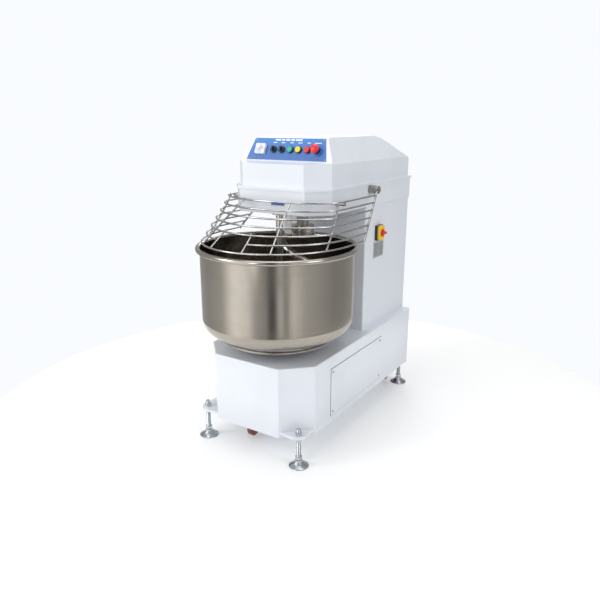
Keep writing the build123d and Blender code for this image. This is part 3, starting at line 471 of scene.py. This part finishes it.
def islands(node_name):
    """The separate solids of a CAD node, each as its list of points."""
    mesh = bmesh.new()
    mesh.from_mesh(nodes[node_name].data)
    bmesh.ops.remove_doubles(mesh, verts=mesh.verts, dist=1e-6)
    left = set(mesh.verts)
    groups = []
    while left:
        reach = [left.pop()]
        group = []
        while reach:
            vertex = reach.pop()
            group.append(vertex.co.copy())
            for edge in vertex.link_edges:
                other = edge.other_vert(vertex)
                if other in left:
                    left.remove(other)
                    reach.append(other)
        groups.append(group)
    mesh.free()
    return groups


def span(points):
    """The two far corners of a cloud of points."""
    low = Vector(min(p[i] for p in points) for i in range(3))
    high = Vector(max(p[i] for p in points) for i in range(3))
    return low, high

# %% [markdown]
# The machine stands on four levelling feet. Each is a pressed, domed pad with a rolled edge, a collar and a
# screw with a visible thread. The places come from the model's own feet, so the new feet stand exactly on
# the floor line. The thread is a row of small ridges: at this size a true helix could not be told apart.
# Heights and radii are in millimetres here, and are turned into metres when the piece is made.

# %% Levelling feet
MM = 0.001
PAD_PROFILE = [
    (42.5, 0), (44.4, 0.8), (45, 2.6), (44.2, 4.6), (41.5, 6.2), (36, 9.2), (29.5, 13.6),
    (23.5, 18.4), (19.6, 22.4), (17.4, 24.2), (17, 26), (17, 30.4), (16, 32),
]
THREAD_PITCH = 2.5
THREAD_LOW = 34
SCREW_R = 10
ROOT_R = SCREW_R - 0.9
CREST_R = SCREW_R - 0.1
FOOT_SIDES = 36
feet = []
for group in islands("levelling_feet"):
    low, high = span(group)
    profile = PAD_PROFILE + [(ROOT_R, 32.6), (ROOT_R, THREAD_LOW)]
    top = (high.z - low.z) / MM
    ridges = int((top - 3 - THREAD_LOW) / THREAD_PITCH)
    for ridge in range(ridges):
        height = THREAD_LOW + ridge * THREAD_PITCH
        profile += [(CREST_R, height + 0.9), (CREST_R, height + 1.4), (ROOT_R, height + 2.4)]
    profile += [(SCREW_R - 1, top - 1.5), (SCREW_R - 3, top)]
    centre = ((low.x + high.x) / 2, (low.y + high.y) / 2, low.z)
    feet.append(turned("foot", [(r * MM, z * MM) for r, z in profile], centre, FOOT_SIDES))
settle(joined("turned_feet", feet), "frame", zinc_plate, "zinc", "levelling_feet")

# %% [markdown]
# Every cover is held by screws. The model has them as plain discs, so each disc's place and facing are read
# from it and a domed head with a pressed socket is turned in its stead.

# %% Screw heads
CONTROL_NORMAL = Vector((0, -0.908, 0.418))
SCREW_SIDES = 20


def facing(points, middle):
    """The direction a thin disc faces: across its thinnest way, away from the machine's middle."""
    centre = sum(points, Vector()) / len(points)
    choices = [Vector((1, 0, 0)), Vector((0, 1, 0)), Vector((0, 0, 1)), CONTROL_NORMAL]
    normal = min(choices, key=lambda n: max(abs((p - centre).dot(n)) for p in points))
    if normal.dot(centre - middle) < 0:
        normal = -normal
    thick = max(abs((p - centre).dot(normal)) for p in points)
    reach = max(((p - centre) - normal * (p - centre).dot(normal)).length for p in points)
    return centre, normal, thick, reach


screws = []
for group in islands("cover_screws"):
    centre, normal, half_thick, reach = facing(group, Vector((0, 0, 0.9)))
    head = 2 * half_thick
    profile = [
        (reach, 0), (reach, head * 0.35), (reach * 0.93, head * 0.68), (reach * 0.74, head * 0.93),
        (reach * 0.52, head), (reach * 0.46, head), (reach * 0.4, head * 0.45), (reach * 0.05, head * 0.38),
    ]
    screws.append(turned("screw", profile, centre - normal * half_thick, SCREW_SIDES, normal))
settle(joined("screw_heads", screws), "frame", screw_steel, "screw_steel", "cover_screws")

# %% [markdown]
# The guard is a wire cage, and each crossing is a small weld. The crossings are found where the meshes of two
# sets of wires touch, so the welds follow the model whatever its sizes. A weld is a short turned bead, wider
# in the middle, laid along the rib.

# %% Weld beads on the guard
def triangle_tree(node_name):
    """A search tree of a node's faces, and the node's mesh."""
    mesh = nodes[node_name].data
    corners = [v.co for v in mesh.vertices]
    return BVHTree.FromPolygons(corners, [tuple(p.vertices) for p in mesh.polygons]), mesh


def crossings(first, second, apart=0.016):
    """The places where two sets of wires cross, at least the given way apart."""
    tree_a, mesh_a = triangle_tree(first)
    tree_b, _ = triangle_tree(second)
    spots = []
    for face, _ in tree_a.overlap(tree_b):
        corners = [mesh_a.vertices[i].co for i in mesh_a.polygons[face].vertices]
        near = min(corners, key=lambda corner: tree_b.find_nearest(corner)[3])
        if all((spot - near).length >= apart for spot in spots):
            spots.append(near.copy())
    return spots


WELD_R = 0.0052
WELD_SIDES = 10
WELD_LEAN = (0.2, 0.6, 0.7)
WELD_STEPS = [(0.3, -1), (0.75, -0.72), (1, -0.2), (1, 0.25), (0.72, 0.75), (0.3, 1)]
weld_profile = [(radius * WELD_R, height * WELD_R) for radius, height in WELD_STEPS]
welds = []
for rods in ("guard_ribs", "guard_side_rods"):
    for wires in ("guard_ring", "guard_hoops", "guard_top_hoop"):
        for spot in crossings(rods, wires):
            welds.append(turned("weld", weld_profile, spot, WELD_SIDES, WELD_LEAN))
print("welds:", len(welds))
settle(joined("weld_beads", welds), "guard", hook_steel, "guard_steel")

# %% [markdown]
# Printed and raised marks are thin pads with rounded corners: bars that stand for words, the ticks of the
# timer, the badge and the dark strips of painted shadow round the service panels. One helper makes a pad on
# any plane: a plane is added, its corners are bevelled in edit mode, and it is extruded to its thickness.

# %% A rounded pad on a plane
def pad(name, frame_matrix, across, up, width, height, thick=0.0006, corner=0.0015):
    """A thin rounded plate centred at (across, up) on a plane whose +Z faces outward."""
    clear_selection()
    bpy.ops.mesh.primitive_plane_add(size=1, location=(0, 0, 0))
    piece = bpy.context.object
    piece.name = name
    bpy.ops.object.mode_set(mode="EDIT")
    bpy.ops.mesh.select_all(action="SELECT")
    bpy.ops.transform.resize(value=(width, height, 1), center_override=(0, 0, 0))
    corner = min(corner, 0.45 * width, 0.45 * height)
    bpy.ops.mesh.bevel(offset=corner, segments=3, affect="VERTICES")
    bpy.ops.mesh.select_all(action="SELECT")
    bpy.ops.mesh.extrude_region_move(TRANSFORM_OT_translate={"value": (0, 0, thick)})
    bpy.ops.mesh.select_all(action="SELECT")
    bpy.ops.mesh.normals_make_consistent(inside=False)
    bpy.ops.object.mode_set(mode="OBJECT")
    piece.data.transform(Matrix.Translation((across, up, 0)))
    piece.data.transform(frame_matrix)
    return piece


def plane_frame(origin, right, upward):
    """A matrix whose X is right, Y is upward and Z faces outward, standing on origin."""
    x = Vector(right).normalized()
    y = Vector(upward).normalized()
    z = x.cross(y)
    turn = Matrix((x, y, z)).transposed().to_4x4()
    return Matrix.Translation(origin) @ turn

# %% [markdown]
# The control film lies on a sloping face. Its middle is found from the film's own box, and everything printed
# is placed by distance across and up that slope. The words on a real film are a maker's own, so plain bars
# stand where they would be, and each operator gets a small plain tag above it.

# %% Print on the control film
ROW_UP = -0.003
TITLE_UP = 0.043
LABEL_UP = 0.030
DOT = 0.0022
low, high = (Vector(corner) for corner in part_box("control_panel"))
points = [v.co for v in nodes["control_panel"].data.vertices]
slope = Vector((0, 0.047, 0.102)).normalized()
out = Vector((1, 0, 0)).cross(slope)
middle_point = Vector((0, (low.y + high.y) / 2, (low.z + high.z) / 2))
face_height = max(p.dot(out) for p in points)
middle_point += out * (face_height - middle_point.dot(out))
panel_frame = plane_frame(middle_point, (1, 0, 0), slope)
print("control face at", tuple(round(c, 4) for c in middle_point))


def across_of(node_name):
    """How far a node's middle stands to the side on the control face."""
    low_corner, high_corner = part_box(node_name)
    return (low_corner[0] + high_corner[0]) / 2


def heights(node_name):
    """How far below and above the control face a node reaches."""
    reaches = [v.co.dot(out) - middle_point.dot(out) for v in nodes[node_name].data.vertices]
    return min(reaches), max(reaches)


TAGS = {
    "speed_selector": 0.02, "bowl_selector": 0.02, "start_button": 0.018,
    "jog_button": 0.022, "stop_button": 0.018, "estop_button": 0.034,
}
SELECTOR_REACH = 0.0205
prints = []
title_x = -0.074
for word in (0.030, 0.016, 0.024, 0.020, 0.034):
    prints.append(pad("word", panel_frame, title_x + word / 2, TITLE_UP, word, 0.0072))
    title_x += word + 0.005
for name, wide in TAGS.items():
    prints.append(pad("tag", panel_frame, across_of(name), LABEL_UP, wide, 0.0036))
for name in ("speed_selector", "bowl_selector"):
    for angle in (-45, 0, 45):
        turn = math.radians(angle)
        across = across_of(name) + SELECTOR_REACH * math.sin(turn)
        up = ROW_UP + SELECTOR_REACH * math.cos(turn)
        prints.append(pad("tick", panel_frame, across, up, DOT, DOT, corner=0.001))
settle(joined("film_print", prints), "frame", white_ink, "timer_white")

# %% [markdown]
# The timer is a white box with a dial. Its ring of ticks is generic: twelve small marks, every third one
# larger, and no figures.

# %% Timer dial
TICKS = 12
TICK_REACH = 0.0185
timer_face = heights("timer_body")[1]
dial_frame = plane_frame(middle_point + out * timer_face, (1, 0, 0), slope)
ticks = []
for tick in range(TICKS):
    angle = 2 * math.pi * tick / TICKS
    across = across_of("timer_knob") + TICK_REACH * math.cos(angle)
    up = ROW_UP + TICK_REACH * math.sin(angle)
    size = 0.0032 if tick % 3 == 0 else 0.0019
    ticks.append(pad("tick", dial_frame, across, up, size, size, 0.0004, 0.0008))
settle(joined("timer_ticks", ticks), "frame", grey_ink, "knob_black")

# %% [markdown]
# The emergency stop is a mushroom with a deep rounded crown and a grip groove. It is turned on the helper
# lathe in place of the model's plain button, leans with the control face, and rides on the button's body.

# %% Emergency stop mushroom
CROWN_R = 0.020
STEM_R = 0.0088
CROWN_H = 0.0196
CROWN_STEPS = [  # how far in from the crown's edge, and how far above its skirt
    (0.003, 0), (0.0006, 0.0012), (0, 0.003), (0, 0.0065), (0.0012, 0.0078), (0.0012, 0.0092),
    (0.0004, 0.0102), (0.0022, 0.0138), (0.006, 0.0170), (0.0115, 0.0188), (0.017, CROWN_H),
]
stop_low, stop_top = heights("estop_button")
skirt = stop_top - CROWN_H
stop_foot = middle_point + Vector((across_of("estop_button"), 0, 0)) + slope * ROW_UP
stop_profile = [(STEM_R, stop_low), (STEM_R, skirt - 0.0004)]
stop_profile += [(CROWN_R - inward, skirt + rise) for inward, rise in CROWN_STEPS]
mushroom = turned("stop_mushroom", stop_profile, stop_foot, 48, out)
settle(mushroom, "estop_button", red_moulding, "red", "estop_button")

# %% [markdown]
# A small blue badge sits on the head's front and a rating plate on the column. Both are left without words:
# the badge is a plain rimmed plate, and the rating plate has rows of bars where its table would be.

# %% Badge and plate marks
BADGE_PLACE = (0.036, 0.046)
BADGE_W = 0.072
BADGE_H = 0.017
BADGE_RIM = 0.004
head_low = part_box("head_housing")[0]
badge_frame = plane_frame((0, head_low[1], head_low[2]), (1, 0, 0), (0, 0, 1))
rim = pad("badge_rim", badge_frame, *BADGE_PLACE, BADGE_W, BADGE_H, 0.0012, 0.003)
settle(rim, "frame", zinc_plate, "zinc")
face = pad("badge_face", badge_frame, *BADGE_PLACE, BADGE_W - BADGE_RIM, BADGE_H - BADGE_RIM, 0.0018, 0.002)
settle(face, "frame", panel_film, "panel_blue")

ROWS = 6
ROW_STEP = 0.0112
LINE_H = 0.0035
plate_low, plate_high = (Vector(corner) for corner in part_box("rating_plate"))
plate_middle = (plate_low + plate_high) / 2
plate_frame = plane_frame((plate_high.x, plate_middle.y, plate_middle.z), (0, 1, 0), (0, 0, 1))
rows = []
for line in range(ROWS):
    up = 0.028 - line * ROW_STEP
    rows.append(pad("line", plate_frame, -0.026, up, 0.042 - 0.006 * (line % 2), LINE_H, 0.0003))
    rows.append(pad("line", plate_frame, 0.028, up, 0.034 + 0.005 * (line % 3), LINE_H, 0.0003))
settle(joined("plate_lines", rows), "frame", grey_ink, "knob_black")

# %% [markdown]
# Each service panel on the base gets a painted shadow: a thin dark line round it, where its gap would lie in
# shade. The line is four narrow pads laid along the panel's edges, on both sides of the base.

# %% Painted shadow lines round the service panels
SHADOW_STRIP = 0.0022
SHADOW_STRIP_THICK = 0.0007
SHADOW_STRIP_CORNER = 0.0005
# painted shadow: dark strips stand where each panel's gap lies in shade
shadow_strips = []
wall_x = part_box("base_shell")[1][0]
panel_low, panel_high = (Vector(corner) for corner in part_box("side_panels"))
panel_middle = (panel_low + panel_high) / 2
tall = panel_high.z - panel_low.z
long = panel_high.y - panel_low.y
for side in (-1, 1):
    wall = plane_frame((side * wall_x, panel_middle.y, panel_middle.z), (0, side, 0), (0, 0, 1))
    for end in (-1, 1):
        across, up = end * (long + SHADOW_STRIP) / 2, end * (tall + SHADOW_STRIP) / 2
        shadow_strips.append(pad("shadow_strip", wall, 0, up, long + 2 * SHADOW_STRIP, SHADOW_STRIP, SHADOW_STRIP_THICK, SHADOW_STRIP_CORNER))
        shadow_strips.append(pad("shadow_strip", wall, across, 0, SHADOW_STRIP, tall, SHADOW_STRIP_THICK, SHADOW_STRIP_CORNER))
settle(joined("panel_shadow_strips", shadow_strips), "frame", black_paint, "black_steel")
